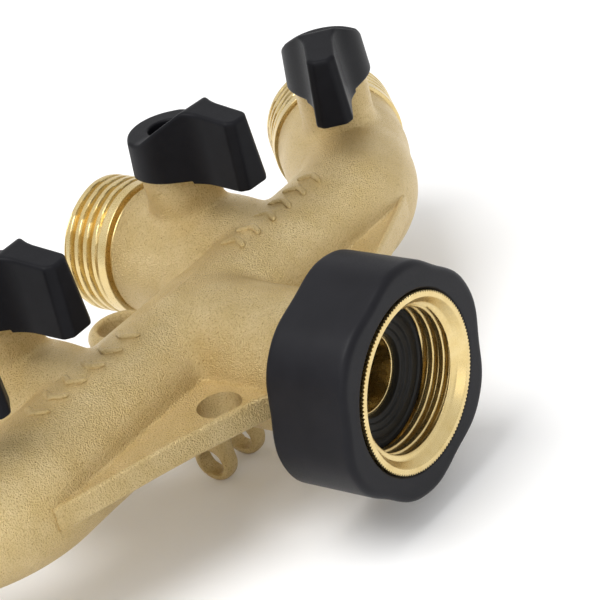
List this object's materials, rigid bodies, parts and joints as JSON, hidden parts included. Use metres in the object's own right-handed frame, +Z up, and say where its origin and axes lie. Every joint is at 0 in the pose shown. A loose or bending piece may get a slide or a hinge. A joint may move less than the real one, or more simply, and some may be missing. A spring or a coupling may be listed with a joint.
{
  "type": "hose splitter",
  "caption": "Brass garden hose splitter: a swivel inlet nut with a black lobed grip feeds a cast bar with male-thread outlets, each with a quarter-turn lever valve.",
  "frame": {"origin": "centre of the inlet mouth, in the front plane of the brass swivel nut", "axes": "+Y from the inlet to the outlets, square to the bar; X along the bar; +Z up, on the side of the handles"},
  "size_m": [0.1826, 0.0925, 0.0605],
  "materials": {
    "cast_brass": "sandblasted",
    "machined_brass": "machined",
    "black_plastic": "satin",
    "black_grip": "satin",
    "rubber": "matt",
    "ptfe": "waxy",
    "steel": "plated"
  },
  "bodies": {
    "casting": {"body": "cast_brass", "inlet_nipple": "machined_brass", "nipple_o_ring": "rubber", "seat_inner_1": "ptfe", "seat_inner_2": "ptfe", "seat_inner_3": "ptfe", "seat_inner_4": "ptfe", "seat_outer_1": "ptfe", "seat_outer_2": "ptfe", "seat_outer_3": "ptfe", "seat_outer_4": "ptfe", "seat_retainer_1": "machined_brass", "seat_retainer_2": "machined_brass", "seat_retainer_3": "machined_brass", "seat_retainer_4": "machined_brass"},
    "swivel": {"swivel_nut": "machined_brass", "swivel_grip": "black_grip", "inlet_washer": "rubber"},
    "valve_1": {"handle_1": "black_plastic", "handle_screw_1": "steel", "stem_1": "machined_brass", "stem_o_rings_1": "rubber", "ball_1": "steel"},
    "valve_2": {"handle_2": "black_plastic", "handle_screw_2": "steel", "stem_2": "machined_brass", "stem_o_rings_2": "rubber", "ball_2": "steel"},
    "valve_3": {"handle_3": "black_plastic", "handle_screw_3": "steel", "stem_3": "machined_brass", "stem_o_rings_3": "rubber", "ball_3": "steel"},
    "valve_4": {"handle_4": "black_plastic", "handle_screw_4": "steel", "stem_4": "machined_brass", "stem_o_rings_4": "rubber", "ball_4": "steel"}
  },
  "joints": [
    {"name": "swivel_spin", "type": "hinge", "parent": "casting", "child": "swivel", "pos_m": [0, 0, 0], "axis": [0, 1, 0], "continuous": true},
    {"name": "valve_1_turn", "type": "hinge", "parent": "casting", "child": "valve_1", "pos_m": [-0.0643, 0.0583, 0], "axis": [0, 0, -1], "range_deg": [0, 90]},
    {"name": "valve_2_turn", "type": "hinge", "parent": "casting", "child": "valve_2", "pos_m": [-0.02675, 0.0678, 0], "axis": [0, 0, -1], "range_deg": [0, 90]},
    {"name": "valve_3_turn", "type": "hinge", "parent": "casting", "child": "valve_3", "pos_m": [0.02675, 0.0678, 0], "axis": [0, 0, -1], "range_deg": [-6, 84]},
    {"name": "valve_4_turn", "type": "hinge", "parent": "casting", "child": "valve_4", "pos_m": [0.0643, 0.0583, 0], "axis": [0, 0, -1], "range_deg": [-7, 83]}
  ]
}
